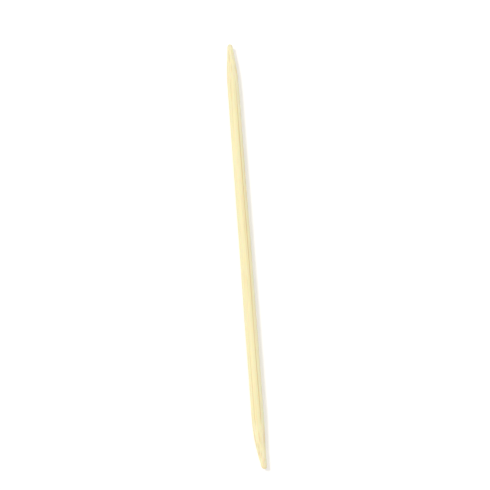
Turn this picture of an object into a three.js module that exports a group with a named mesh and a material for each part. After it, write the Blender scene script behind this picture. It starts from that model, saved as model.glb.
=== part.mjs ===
// Bamboo toothpick: one round stick of split bamboo, ground to a point at both ends and
// tumbled until its edges and tips are smooth.
//
// Millimetres, +Z up. The stick lies along X, with its axis on the X axis and the middle of
// its length at the origin.

import * as THREE from "three";

// The stick.
const LENGTH = 65; // from tip to tip
const SHANK_DIAMETER = 1.8; // drawn round through a die

// The ground points, alike at both ends.
const POINT_LENGTH = 6; // from the tip to where the cone would meet the shank
const POINT_SWELL = 0.04; // how far the flank swells outside a straight cone
const SHOULDER = 1.1; // how far back from that corner the flank starts to round over
const TIP_DIAMETER = 0.8; // the ball that tumbling leaves at the very end

// How finely the round surfaces are divided.
const SIDES = 48;
const CURVE_STEPS = 6;

// Half of the outline, from the tip on the axis to where the shank begins. In each Vector2,
// x is the radius and y the distance in from the tip.
function pointOutline() {
  const shank = SHANK_DIAMETER / 2;
  const ball = TIP_DIAMETER / 2;

  // The line that touches the ball and runs up to the corner of cone and shank.
  const reach = POINT_LENGTH - ball;
  const cone = Math.atan2(shank, reach) - Math.asin(ball / Math.hypot(shank, reach));
  const corner = new THREE.Vector2(shank, POINT_LENGTH);

  // The flank stops short of the corner, and swells a little between its two ends.
  const flankEnd = new THREE.Vector2(
    corner.x - SHOULDER * Math.sin(cone),
    corner.y - SHOULDER * Math.cos(cone),
  );
  const flankRun = flankEnd.y - ball;
  const lean = Math.atan((4 * POINT_SWELL) / flankRun);
  const flankStart = new THREE.Vector2(
    ball * Math.cos(cone + lean),
    ball - ball * Math.sin(cone + lean),
  );
  const flankMiddle = flankStart.clone().add(flankEnd).multiplyScalar(0.5);
  flankMiddle.x += 2 * POINT_SWELL * Math.cos(cone);
  flankMiddle.y -= 2 * POINT_SWELL * Math.sin(cone);

  // The rounded shoulder leaves along the flank and lands along the shank.
  const slope = (flankEnd.x - flankMiddle.x) / (flankEnd.y - flankMiddle.y);
  const turn = new THREE.Vector2(shank, flankEnd.y + (shank - flankEnd.x) / slope);
  const shoulderEnd = new THREE.Vector2(shank, turn.y + turn.distanceTo(flankEnd));

  const outline = new THREE.Path();
  outline.moveTo(0, 0);
  outline.absarc(0, ball, ball, -Math.PI / 2, -(cone + lean), false);
  outline.quadraticCurveTo(flankMiddle.x, flankMiddle.y, flankEnd.x, flankEnd.y);
  outline.quadraticCurveTo(turn.x, turn.y, shoulderEnd.x, shoulderEnd.y);
  return outline.getPoints(CURVE_STEPS);
}

// The whole outline: the same point at each end, with the straight shank between them.
function stickOutline() {
  const near = pointOutline();
  const far = near.map((p) => new THREE.Vector2(p.x, LENGTH - p.y)).reverse();
  return [...near, ...far].map((p) => new THREE.Vector2(p.x, p.y - LENGTH / 2));
}

function stickGeometry() {
  const geometry = new THREE.LatheGeometry(stickOutline(), SIDES);
  geometry.rotateZ(-Math.PI / 2); // the lathe's axis is Y, the stick's is X
  return geometry;
}

// Peeled bamboo, tumbled smooth and left without varnish.
const bamboo = new THREE.MeshStandardMaterial({
  name: "bamboo",
  color: 0xf6ebba,
  roughness: 0.6,
  metalness: 0,
});

const toothpick = new THREE.Mesh(stickGeometry(), bamboo);
toothpick.name = "toothpick";

const part = new THREE.Group();
part.add(toothpick);

export default part;
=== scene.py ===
"""A bamboo toothpick, ground to a point at both ends, lying on a pale table.

The stick lies along X in metres, with the middle of its length at the origin. Its surface is one
grid of numbers: rows from tip to tip, and columns around the axis. Everything that shapes it is
a function of those two, worked out for the whole grid at once.
"""

import logging  # noqa: E402
import math  # noqa: E402
from dataclasses import dataclass, field  # noqa: E402
from enum import Enum  # noqa: E402
from typing import Any, NamedTuple  # noqa: E402

import bpy  # noqa: E402
import numpy as np  # noqa: E402
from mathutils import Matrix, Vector  # noqa: E402


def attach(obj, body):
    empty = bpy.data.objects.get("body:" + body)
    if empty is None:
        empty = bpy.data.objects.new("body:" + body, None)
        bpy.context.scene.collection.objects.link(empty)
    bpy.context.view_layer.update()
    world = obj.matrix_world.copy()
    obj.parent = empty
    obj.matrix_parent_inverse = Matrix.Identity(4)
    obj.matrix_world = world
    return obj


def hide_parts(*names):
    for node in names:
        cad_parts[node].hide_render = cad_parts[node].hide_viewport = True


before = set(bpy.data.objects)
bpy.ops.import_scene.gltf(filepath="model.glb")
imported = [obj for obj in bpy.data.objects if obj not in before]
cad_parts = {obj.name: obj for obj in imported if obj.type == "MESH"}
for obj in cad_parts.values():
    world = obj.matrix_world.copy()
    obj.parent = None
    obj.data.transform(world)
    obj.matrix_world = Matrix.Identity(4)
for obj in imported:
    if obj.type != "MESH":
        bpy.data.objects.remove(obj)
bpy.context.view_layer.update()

log = logging.getLogger("toothpick")

MM = 0.001
FULL_TURN = 2 * math.pi
Array = np.ndarray
Socket = bpy.types.NodeSocket
Colour = tuple[float, float, float, float]


class End(Enum):
    """The two ground ends of the stick, by the side of the origin that each lies on."""

    FAR = -1
    NEAR = 1


class Ramp(NamedTuple):
    """Stretches a value: low..high becomes at_low..at_high, and it is held beyond both."""

    low: float
    high: float
    at_low: float
    at_high: float


class Patch(NamedTuple):
    """The size of one patch of a texture that is drawn out along the stick, in metres."""

    along: float
    across: float


def linear(hex_colour: str) -> Colour:
    """Turns an sRGB hex colour into the linear values that a shader takes.

    Args:
        hex_colour: Six hex digits, such as "f3e2b0".

    Returns:
        Red, green and blue by the sRGB curve, and an alpha of 1.
    """
    parts = (int(hex_colour[i : i + 2], 16) / 255 for i in (0, 2, 4))
    r, g, b = (c / 12.92 if c <= 0.04045 else ((c + 0.055) / 1.055) ** 2.4 for c in parts)
    return r, g, b, 1.0


def add_node(
    tree: bpy.types.NodeTree, kind: str, links: dict[Any, Any] | None = None, **settings: Any
) -> bpy.types.Node:
    """Adds a shader node, sets its properties and fills its inputs.

    Args:
        tree: The node tree that gets the node.
        kind: Blender's name for the node's type.
        links: Input name or index to an output socket, which is linked, or to a plain value.
        **settings: Properties of the node itself.

    Returns:
        The new node.
    """
    node = tree.nodes.new(kind)
    for name, value in settings.items():
        setattr(node, name, value)
    for key, value in (links or {}).items():
        if isinstance(value, Socket):
            tree.links.new(value, node.inputs[key])
        else:
            node.inputs[key].default_value = value
    return node


def lower_of(a: Array, b: Array, dip: float) -> Array:
    """The lower of two heights, with the edge where they cross rounded.

    Formula: a polynomial smooth minimum. It leaves both alone where they differ by more than
    four times the dip, and takes the dip off where they cross.

    Args:
        a: The first height.
        b: The second height.
        dip: How far below their crossing the blended height runs.

    Returns:
        The blended height.
    """
    reach = 4 * dip
    share = np.clip(0.5 + 0.5 * (b - a) / reach, 0.0, 1.0)
    return b * (1 - share) + a * share - reach * share * (1 - share)


def waves(at: Array, lengths: tuple[float, ...], rng: np.random.Generator) -> Array:
    """A slow, even wander between -1 and 1.

    Formula: the mean of sines of the given wavelengths, each with a phase of its own.

    Args:
        at: Where the wander is wanted, in metres.
        lengths: The wavelengths, in metres.
        rng: The seeded source of the phases.

    Returns:
        One value for each entry of at.
    """
    turns = [np.sin(FULL_TURN * at / size + rng.uniform(0, FULL_TURN)) for size in lengths]
    return np.mean(turns, axis=0)


@dataclass(frozen=True)
class TumbledBamboo:
    """Split bamboo, drawn through a round die and tumbled in a drum, with no varnish.

    Bamboo is pale, soft pith tissue with stiff darker fibre strands running along it. To the eye
    that gives cream wood with thin straw-coloured lines that never cross, warmer towards the
    side that faced the culm's skin, and a dull satin from the drum. The skin side is turned
    towards the lamp, so the paler pith lies on the shaded side as a painted lift of the shade.
    The points are ground across the fibres, so they are paler, duller and finely ringed, and
    the very end shows the strands' slightly darker end grain.
    """

    pith: str = "f9f7d6"
    pith_warm: str = "f7f0c3"
    fibre: str = "e6d19c"
    strand: str = "dcc188"
    fleck: str = "b08a52"
    cut: str = "fcf4d4"
    ior: float = 1.5

    # Light gets a few tenths of a millimetre into pith, red light furthest, so that the shaded
    # side and the thin points stay warm.
    glow: float = 0.3
    glow_reach: tuple[float, float, float] = (0.5 * MM, 0.3 * MM, 0.14 * MM)

    # The slow change of tone is as broad as a pair of strands.
    tone_patch: Patch = Patch(30.0 * MM, 0.8 * MM)
    # Fibre sheaths in a culm's wall are 0.1 to 0.3 mm across, and run on from joint to joint.
    fibre_patch: Patch = Patch(34.0 * MM, 0.2 * MM)
    # Its vessels are 0.05 to 0.15 mm across, and lie cut open for 5 to 10 mm at a time.
    grain_patch: Patch = Patch(9.0 * MM, 0.11 * MM)
    # A bruised strand shows brown for a few millimetres.
    fleck_patch: Patch = Patch(7.0 * MM, 0.15 * MM)
    # A belt of 150 grit leaves rings of about 0.09 mm, which is half of what the whole view can
    # show, so they are seen only near by. Round the stick they hardly change.
    ring_patch: Patch = Patch(0.09 * MM, 1.5 * MM)

    # How much of each layer of colour shows, by the value of its texture or attribute.
    warm_cover: Ramp = Ramp(0.2, 1.0, 0.0, 1.0)
    fibre_cover: Ramp = Ramp(0.16, 0.38, 0.75, 0.0)
    grain_cover: Ramp = Ramp(0.5, 0.7, 0.0, 0.35)
    strand_cover: Ramp = Ramp(0.1, 0.8, 0.0, 0.7)
    fleck_cover: Ramp = Ramp(0.7, 0.78, 0.0, 0.55)
    cut_cover: Ramp = Ramp(0.0, 1.0, 0.0, 0.3)
    end_cover: Ramp = Ramp(0.0, 1.0, 0.0, 0.25)

    # The drum polishes the pith a little more than the pores. Ground wood stays dull.
    roughness: Ramp = Ramp(0.3, 0.7, 0.44, 0.66)
    roughness_cut: float = 0.78

    # The pores and the rings are a hundredth of a millimetre or so deep.
    relief: float = 0.014 * MM
    relief_strength: float = 0.7

    def drawn_out(
        self, tree: bpy.types.NodeTree, place: Socket, kind: str, patch: Patch
    ) -> bpy.types.Node:
        """Adds a texture that is drawn out along the stick, or pressed together along it.

        Args:
            tree: The material's node tree.
            place: The socket with Object coordinates.
            kind: Blender's name for the texture node.
            patch: The size of one patch of it.

        Returns:
            The texture node.
        """
        scale = (1 / patch.along, 1 / patch.across, 1 / patch.across)
        mapped = add_node(tree, "ShaderNodeMapping", {"Vector": place, "Scale": scale})
        return add_node(tree, kind, {"Vector": mapped.outputs[0], "Scale": 1.0})

    def spread(self, tree: bpy.types.NodeTree, value: Socket, ramp: Ramp) -> Socket:
        """Stretches a socket's value by a ramp.

        Args:
            tree: The material's node tree.
            value: The socket to stretch.
            ramp: From where to where.

        Returns:
            The socket with the stretched value.
        """
        span = {"From Min": ramp.low, "From Max": ramp.high}
        span |= {"To Min": ramp.at_low, "To Max": ramp.at_high}
        return add_node(tree, "ShaderNodeMapRange", {"Value": value, **span}).outputs[0]

    def cover(
        self,
        tree: bpy.types.NodeTree,
        under: Socket | Colour,
        over: Colour,
        value: Socket,
        ramp: Ramp,
    ) -> Socket:
        """Lays one colour over another, by a socket's value.

        Args:
            tree: The material's node tree.
            under: The colour that is there already.
            over: The colour that is laid over it.
            value: The socket that says where it lies.
            ramp: How much of it shows at which value.

        Returns:
            The socket with the resulting colour.
        """
        share = self.spread(tree, value, ramp)
        # A Mix node takes two colours at 6 and 7, as it takes two plain numbers at 2 and 3.
        mixed = {0: share, 6: under, 7: over}
        return add_node(tree, "ShaderNodeMix", mixed, data_type="RGBA").outputs[2]

    def material(self) -> bpy.types.Material:
        """Builds the node material.

        Returns:
            The material, which reads Object coordinates and the stick's own attributes.
        """
        made = bpy.data.materials.new("tumbled_bamboo")
        made.use_nodes = True
        tree = made.node_tree
        tree.nodes.clear()
        place = add_node(tree, "ShaderNodeTexCoord").outputs["Object"]
        strand, ground, toward_skin_and_lamp, end_grain = (
            add_node(tree, "ShaderNodeAttribute", attribute_name=name).outputs["Fac"]
            for name in ("strand", "ground", "toward_skin_and_lamp", "end_grain")
        )
        tone, grain, flecks, rings = (
            self.drawn_out(tree, place, "ShaderNodeTexNoise", patch).outputs[0]
            for patch in (self.tone_patch, self.grain_patch, self.fleck_patch, self.ring_patch)
        )
        cells = self.drawn_out(tree, place, "ShaderNodeTexVoronoi", self.fibre_patch)
        from_fibre = cells.outputs["Distance"]

        # Pith in two tones, warmer towards the skin side and in slow bands. The skin side faces the
        # lamp, so the pale pith on the shaded side is also a painted lift of the shade.
        side = add_node(tree, "ShaderNodeMath", {0: tone, 1: toward_skin_and_lamp}, operation="ADD").outputs[0]
        pith, pith_warm = linear(self.pith), linear(self.pith_warm)
        colour = self.cover(tree, pith, pith_warm, side, self.warm_cover)
        layers = (
            # Fine fibres, which run nearly the length of the stick.
            (self.fibre, from_fibre, self.fibre_cover),
            # The pores and short grain between them.
            (self.fibre, grain, self.grain_cover),
            # The stout strands.
            (self.strand, strand, self.strand_cover),
            # The few brown flecks where a strand was bruised.
            (self.fleck, flecks, self.fleck_cover),
            # Freshly ground wood at the points, and end grain at the very tips.
            (self.cut, ground, self.cut_cover),
            (self.strand, end_grain, self.end_cover),
        )
        for over, value, ramp in layers:
            colour = self.cover(tree, colour, linear(over), value, ramp)

        dull = self.spread(tree, grain, self.roughness)
        dull = add_node(tree, "ShaderNodeMix", {0: ground, 2: dull, 3: self.roughness_cut})
        height = add_node(tree, "ShaderNodeMix", {0: ground, 2: grain, 3: rings})
        bump = add_node(
            tree,
            "ShaderNodeBump",
            {
                "Strength": self.relief_strength,
                "Distance": self.relief,
                "Height": height.outputs[0],
            },
        )
        shader = add_node(
            tree,
            "ShaderNodeBsdfPrincipled",
            {
                "Base Color": colour,
                "Roughness": dull.outputs[0],
                "IOR": self.ior,
                "Normal": bump.outputs[0],
                "Subsurface Weight": self.glow,
                "Subsurface Radius": self.glow_reach,
                "Subsurface Scale": 1.0,
            },
        )
        add_node(tree, "ShaderNodeOutputMaterial", {"Surface": shader.outputs[0]})
        return made


@dataclass
class Stick:
    """The whole toothpick: a drawn shank with a ground point at each end.

    All sizes are in metres. The outline is the CAD part's, and every irregularity goes inwards
    from it, except that a tip may lie off centre: there one side stands outside the CAD part's
    point by as much as tip_offset, though never outside the thickness of the shank.
    """

    length: float = 65.0 * MM
    shank_radius: float = 0.9 * MM
    point_length: float = 6.0 * MM
    point_swell: float = 0.04 * MM
    shoulder_round: float = 0.035 * MM
    tip_radius: float = 0.4 * MM

    # The die leaves the section a little out of round, in two humps and in three.
    out_of_round: float = 0.028 * MM
    two_waves: tuple[float, ...] = (70 * MM, 33 * MM)
    three_waves: tuple[float, ...] = (52 * MM, 24 * MM)

    # Fibre strands stand proud of the pith. Their rows lie closer than the strands of one row, by
    # about half the square root of three. Each strand lies a little off its place, has a
    # thickness of its own and wanders slowly.
    strand_spacing: float = 0.46 * MM
    strand_row_pitch: float = 0.87
    strand_jitter: float = 0.3
    strand_radius: float = 0.13 * MM
    strand_sizes: tuple[float, float] = (0.55, 1.15)
    strand_wander: float = 0.1
    strand_waves: tuple[float, ...] = (61 * MM, 27 * MM)
    strand_relief: float = 0.014 * MM

    # Which way the culm's skin lay. Strands are stouter there, by skin_stoutness, and the wood
    # is warmer. It points nearly at the lamp, so the warmer, darker wood is on the lit side and
    # the paler pith on the shaded side: a real skin side, placed as a painted lift of the shade.
    skin_and_lamp_side: tuple[float, float] = (-0.6, 0.8)
    skin_stoutness: float = 0.3

    # The belt leaves the tip off centre, and narrow flats and ripples on the point, which the
    # drum has worn off the last millimetre. Where the ground wood begins, its edge is edge_blur
    # of height wide.
    flat_count: int = 7
    flat_depth: float = 0.02 * MM
    flat_waves: tuple[float, ...] = (5 * MM, 3 * MM)
    ripple_depth: float = 0.008 * MM
    ripple_waves: tuple[float, ...] = (1.3 * MM, 0.8 * MM, 2.1 * MM)
    ripple_slant: float = 0.15 * MM
    worn_length: float = 1.2 * MM
    edge_blur: float = 0.05 * MM
    tip_offset: dict[End, tuple[float, float]] = field(
        default_factory=lambda: {End.NEAR: (0.42 * MM, 0.03 * MM), End.FAR: (-0.05 * MM, 0.05 * MM)}
    )

    # The grid of the skin. ball_rows lie on the ball of a tip, between two angles of it.
    # shank_rows lie on half of the shank. Between them, rows point_step apart cover the point
    # and go on for point_margin past it.
    columns: int = 192
    ball_rows: int = 12
    ball_angles: tuple[float, float] = (0.12, 1.4)
    point_step: float = 0.1 * MM
    point_margin: float = 2.0 * MM
    shank_rows: int = 50

    seed: int = 11
    finish: TumbledBamboo = field(default_factory=TumbledBamboo)

    def rows(self) -> Array:
        """Where the rows of the grid lie along the stick.

        Formula: on the ball of a tip, equal turns of its quarter circle; on the ground point,
        equal steps of 0.1 mm; on the shank, equal steps of about 0.5 mm; then the same mirrored.

        Returns:
            The rows' distances from the far tip, rising, without the two tips themselves.
        """
        turn = np.linspace(*self.ball_angles, self.ball_rows)
        ball = self.tip_radius * (1 - np.cos(turn))
        point_end = self.point_length + self.point_margin
        point = np.arange(ball[-1] + self.point_step / 2, point_end, self.point_step)
        shank = np.linspace(point_end, self.length / 2, self.shank_rows)
        half = np.concatenate([ball, point, shank])
        return np.concatenate([half, self.length - half[-2::-1]])

    def cone(self, inward: Array) -> Array:
        """The radius of a ground point before anything else shapes it.

        Formula: the ball's circle up to the place where the flank touches it, then a straight
        line that would meet the shank's radius at point_length, plus a shallow parabola, which
        is point_swell high in the middle.

        Args:
            inward: Distances from the tip, in metres.

        Returns:
            The radius at each distance.
        """
        ball, shank = self.tip_radius, self.shank_radius
        reach = self.point_length - ball
        slope = math.atan2(shank, reach) - math.asin(ball / math.hypot(shank, reach))
        touch = ball - ball * math.sin(slope)
        start = ball * math.cos(slope)
        on_ball = np.sqrt(np.clip(ball**2 - (ball - inward) ** 2, 0.0, None))
        along = (inward - touch) / (self.point_length - touch)
        swell = 4 * self.point_swell * np.clip(along * (1 - along), 0.0, None)
        flank = start + (inward - touch) * math.tan(slope) + swell
        return np.where(inward < touch, on_ball, flank)

    def strands(self, x: Array, y: Array, z: Array) -> Array:
        """How far each point lies inside a fibre strand.

        Formula: strands are straight rods through the stick, on a grid of rows set over by half
        a space and jittered, each with a slow wander of its own, and stouter towards the skin.
        The value is 1 on a rod's axis and falls to 0 at its radius, by the smooth step, and the
        largest one counts. A rod is met at a slant on a ground point, so its line is long and
        tapers there.

        Args:
            x: Places along the stick.
            y: Places across it.
            z: Heights.

        Returns:
            A value from 0 to 1 for each point.
        """
        rng = np.random.default_rng(self.seed)
        space, jitter = self.strand_spacing, self.strand_jitter
        count = int(self.shank_radius / space) + 1
        steps = np.arange(-count, count + 1)
        rows, cols = np.meshgrid(steps, steps, indexing="ij")
        centre_y = ((cols + 0.5 * (rows % 2)) * space).ravel()
        centre_z = (rows * space * self.strand_row_pitch).ravel()
        most = np.zeros_like(x)
        for cy, cz in zip(centre_y, centre_z, strict=True):
            cy = cy + rng.uniform(-jitter, jitter) * space
            cz = cz + rng.uniform(-jitter, jitter) * space
            toward_skin_and_lamp = (cy * self.skin_and_lamp_side[0] + cz * self.skin_and_lamp_side[1]) / self.shank_radius
            stout = 1 + self.skin_stoutness * toward_skin_and_lamp
            radius = self.strand_radius * rng.uniform(*self.strand_sizes) * stout
            wander = self.strand_wander * space * waves(x, self.strand_waves, rng)
            away = np.hypot(y - cy - wander, z - cz - 0.6 * wander) / radius
            inside = np.clip(1 - away, 0.0, 1.0)
            most = np.maximum(most, inside * inside * (3 - 2 * inside))
        return most

    def die(self, x: Array, angle: Array, rng: np.random.Generator) -> Array:
        """The radius of the shank as it leaves the die.

        Formula: the die's radius less a two- and a three-sided unevenness, each of which turns
        slowly along the stick. The angles added only set where they begin.

        Args:
            x: Places along the stick.
            angle: Places around it.
            rng: The seeded source of the phases.

        Returns:
            The radius at each place.
        """
        two = np.cos(2 * angle + 0.7 + 0.5 * waves(x, self.two_waves, rng))
        three = np.cos(3 * angle + 2.1 + 0.6 * waves(x, self.three_waves, rng))
        uneven = 0.5 + 0.3 * two + 0.2 * three
        return self.shank_radius - self.out_of_round * uneven

    def belt(self, inward: Array, turn: Array, rng: np.random.Generator) -> Array:
        """How much the belt takes off a point, besides giving it its cone.

        Formula: shallow flats round it, which drift sideways along it, and ripples along it,
        which lie a little aslant. Both fade out towards the tip.

        Args:
            inward: Distances from the tip.
            turn: Places around it.
            rng: The seeded source of the phases.

        Returns:
            The depth at each place.
        """
        drift = 1.1 * waves(inward, self.flat_waves, rng)
        flats = 0.5 + 0.5 * np.cos(self.flat_count * turn + drift)
        aslant = inward + self.ripple_slant * np.sin(turn)
        ripple = 0.5 + 0.5 * waves(aslant, self.ripple_waves, rng)
        worn = np.clip(inward / self.worn_length, 0.0, 1.0)
        return worn * (self.flat_depth * flats + self.ripple_depth * ripple)

    def surface(self) -> tuple[Array, dict[str, Array]]:
        """Works out every point of the skin.

        Formula: the radius is the lower of two, rounded where they cross: the shank's and the
        cone's, less what the belt took off it. A furrow as deep as strand_relief is taken off
        wherever no strand comes to the surface. The section's centre slides sideways by the
        square of how near the tip is.

        Returns:
            The points as rows x columns x 3, and the named values that the finish reads at each
            point: strand, ground (1 on a point and 0 on the shank), skinward (-1 to 1, towards the
            skin side, which faces the lamp, so it partly carries painted light) and end_grain (1 at
            the very tip).
        """
        rng = np.random.default_rng(self.seed + 1)
        around = np.linspace(0, FULL_TURN, self.columns, endpoint=False)
        along, angle = np.meshgrid(self.rows(), around, indexing="ij")
        x = along - self.length / 2
        inward = np.minimum(along, self.length - along)
        near = x > 0

        shank = self.die(x, angle, rng)
        # The two points were ground one after the other, so their flats don't line up.
        turn = angle + 1.3 * near.astype(float)
        cone = self.cone(inward) - self.belt(inward, turn, rng)
        radius = lower_of(shank, cone, self.shoulder_round)
        ground = np.clip((shank - cone) / self.edge_blur + 0.5, 0.0, 1.0)

        strand = self.strands(x, radius * np.cos(angle), radius * np.sin(angle))
        thickness = np.clip(radius / self.shank_radius, 0.0, 1.0)
        radius = radius - self.strand_relief * (1 - strand) * thickness

        lean = np.clip(1 - inward / self.point_length, 0.0, 1.0) ** 2
        near_tip, far_tip = (np.array(self.tip_offset[end]) for end in (End.NEAR, End.FAR))
        offset = np.where(near[..., None], near_tip, far_tip)
        y = radius * np.cos(angle) + lean * offset[..., 0]
        z = radius * np.sin(angle) + lean * offset[..., 1]
        # How far each point lies towards the skin side. That side faces the lamp, so the warmer
        # pith it brings is on the lit side and the paler pith on the shaded side, partly painted
        # light.
        toward_skin_and_lamp = (self.skin_and_lamp_side[0] * y + self.skin_and_lamp_side[1] * z) / self.shank_radius
        end_grain = np.clip(1 - inward / (2 * self.tip_radius), 0.0, 1.0)
        marks = {"strand": strand, "ground": ground, "toward_skin_and_lamp": toward_skin_and_lamp, "end_grain": end_grain}
        return np.stack([x, y, z], axis=-1), marks

    def build(self) -> bpy.types.Object:
        """Puts the skin into a mesh, closed by one point at each tip.

        Formula: point i of column j joins its neighbours i + 1 and j + 1, going round, and the
        first and last rows fan out from the tips.

        Returns:
            The finished object, dressed and riding on the part's one body.
        """
        points, marks = self.surface()
        rows, columns = points.shape[:2]
        half = self.length / 2
        far = (-half, *self.tip_offset[End.FAR])
        near = (half, *self.tip_offset[End.NEAR])
        vertices = np.concatenate([points.reshape(-1, 3), [far, near]])

        first = np.arange(columns)
        after = (first + 1) % columns
        ring = (np.arange(rows - 1) * columns)[:, None]
        next_ring = ring + columns
        corners = [ring + first, ring + after, next_ring + after, next_ring + first]
        quads = np.stack(corners, axis=-1)
        last = (rows - 1) * columns
        tip_far = np.full(columns, rows * columns)
        tip_near = tip_far + 1
        fans = np.concatenate(
            [
                np.stack([tip_far, after, first], axis=-1),
                np.stack([tip_near, last + first, last + after], axis=-1),
            ]
        )

        mesh = bpy.data.meshes.new("toothpick_skin")
        mesh.from_pydata(vertices.tolist(), [], quads.reshape(-1, 4).tolist() + fans.tolist())
        mesh.polygons.foreach_set("use_smooth", np.ones(len(mesh.polygons), bool))
        for name, values in marks.items():
            layer = mesh.attributes.new(name, "FLOAT", "POINT")
            at_tips = [values[0].mean(), values[-1].mean()]
            layer.data.foreach_set("value", np.append(values.ravel(), at_tips).astype(np.float32))
        mesh.update()

        piece = bpy.data.objects.new("toothpick_skin", mesh)
        bpy.context.scene.collection.objects.link(piece)
        mesh.materials.append(self.finish.material())
        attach(piece, "root")
        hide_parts("toothpick")
        return piece


@dataclass
class Studio:
    """A plain white table under soft light, with a large lamp to the left of the camera."""

    floor_height: float
    floor_colour: str = "fafbff"
    floor_glow: float = 0.15
    floor_half: float = 4.0
    sky: float = 0.74
    sky_colour: str = "fffaf3"
    beyond_colour: str = "ffffff"
    lamp_colour: str = "fdfeff"
    lamp_strength: float = 0.95
    lamp_spread: float = 16.0
    lamp_from: tuple[float, float, float] = (-0.15, -0.43, 0.89)

    def seen(self, tree: bpy.types.NodeTree) -> Socket:
        """Tells the eye's rays, also those off gloss or through glass, from the light's.

        Args:
            tree: The node tree that asks.

        Returns:
            The socket, which is 1 for such a ray and 0 for any other.
        """
        path = add_node(tree, "ShaderNodeLightPath").outputs
        two = {0: path["Is Camera Ray"], 1: path["Is Glossy Ray"]}
        near = add_node(tree, "ShaderNodeMath", two, operation="ADD").outputs[0]
        three = {0: near, 1: path["Is Transmission Ray"]}
        return add_node(tree, "ShaderNodeMath", three, operation="ADD", use_clamp=True).outputs[0]

    def floor(self) -> bpy.types.Object:
        """Lays the table top, which shows its shadows and glows a little to the eye alone.

        Returns:
            The floor object.
        """
        half = self.floor_half
        corners = [(-half, -half), (half, -half), (half, half), (-half, half)]
        mesh = bpy.data.meshes.new("floor")
        mesh.from_pydata([(x, y, self.floor_height) for x, y in corners], [], [(0, 1, 2, 3)])
        piece = bpy.data.objects.new("floor", mesh)
        bpy.context.scene.collection.objects.link(piece)

        made = bpy.data.materials.new("matt_white_laminate")
        made.use_nodes = True
        tree = made.node_tree
        tree.nodes.clear()
        shown = {0: self.seen(tree), 1: self.floor_glow}
        glow = add_node(tree, "ShaderNodeMath", shown, operation="MULTIPLY")
        matte = add_node(tree, "ShaderNodeBsdfDiffuse", {"Color": linear(self.floor_colour)})
        light = add_node(tree, "ShaderNodeEmission", {"Strength": glow.outputs[0]})
        both = add_node(tree, "ShaderNodeAddShader", {0: matte.outputs[0], 1: light.outputs[0]})
        add_node(tree, "ShaderNodeOutputMaterial", {"Surface": both.outputs[0]})
        mesh.materials.append(made)
        return piece

    def world(self) -> bpy.types.World:
        """Lights the scene evenly from all round, and is white to the eye past the floor's edge.

        Returns:
            The world.
        """
        world = bpy.data.worlds.new("studio")
        bpy.context.scene.world = world
        world.use_nodes = True
        tree = world.node_tree
        tree.nodes.clear()
        air, beyond = (
            add_node(tree, "ShaderNodeBackground", {"Color": linear(colour), "Strength": strength})
            for colour, strength in ((self.sky_colour, self.sky), (self.beyond_colour, 1.0))
        )
        mixed = {0: self.seen(tree), 1: air.outputs[0], 2: beyond.outputs[0]}
        both = add_node(tree, "ShaderNodeMixShader", mixed)
        add_node(tree, "ShaderNodeOutputWorld", {"Surface": both.outputs[0]})
        return world

    def lamp(self) -> bpy.types.Object:
        """Hangs the one large lamp, far enough off to light the whole table alike.

        Returns:
            The lamp object, aimed at the middle of the stick.
        """
        data = bpy.data.lights.new("softbox", "SUN")
        data.angle = math.radians(self.lamp_spread)
        data.energy = self.lamp_strength
        data.color = linear(self.lamp_colour)[:3]
        piece = bpy.data.objects.new("softbox", data)
        bpy.context.scene.collection.objects.link(piece)
        away = Vector(self.lamp_from).normalized()
        piece.location = away
        piece.rotation_euler = (-away).to_track_quat("-Z", "Y").to_euler()
        return piece


@dataclass
class Viewpoint:
    """The camera: nearly overhead, with the stick running down the picture."""

    azimuth: float = 86.0
    elevation: float = 70.0
    distance: float = 194.0 * MM
    lens: float = 99.0
    sensor_width: float = 36.0
    clip: tuple[float, float] = (0.01, 20.0)

    def camera(self) -> bpy.types.Object:
        """Makes the scene's camera, aimed at the middle of the stick.

        Returns:
            The camera object.
        """
        turn, rise = math.radians(self.azimuth), math.radians(self.elevation)
        away = Vector(
            (math.sin(turn) * math.cos(rise), -math.cos(turn) * math.cos(rise), math.sin(rise))
        )
        data = bpy.data.cameras.new("camera")
        data.lens = self.lens
        data.sensor_width = self.sensor_width
        data.clip_start, data.clip_end = self.clip
        piece = bpy.data.objects.new("camera", data)
        bpy.context.scene.collection.objects.link(piece)
        piece.location = away * self.distance
        piece.rotation_euler = (-away).to_track_quat("-Z", "Y").to_euler()
        bpy.context.scene.camera = piece
        return piece


def main() -> None:
    """Builds the camera, the stick and the studio."""
    logging.basicConfig(level=logging.INFO, format="%(name)s: %(message)s")
    bpy.context.scene.view_settings.view_transform = "Standard"
    camera = Viewpoint().camera()
    log.info("camera at %s", [round(v, 4) for v in camera.location])
    stick = Stick().build()
    log.info("stick: %d faces, %.4f m long", len(stick.data.polygons), stick.dimensions.x)
    studio = Studio(floor_height=-Stick.shank_radius)
    for piece in (studio.floor(), studio.lamp(), studio.world()):
        log.info("studio: %s", piece.name)


if __name__ == "__main__":
    main()
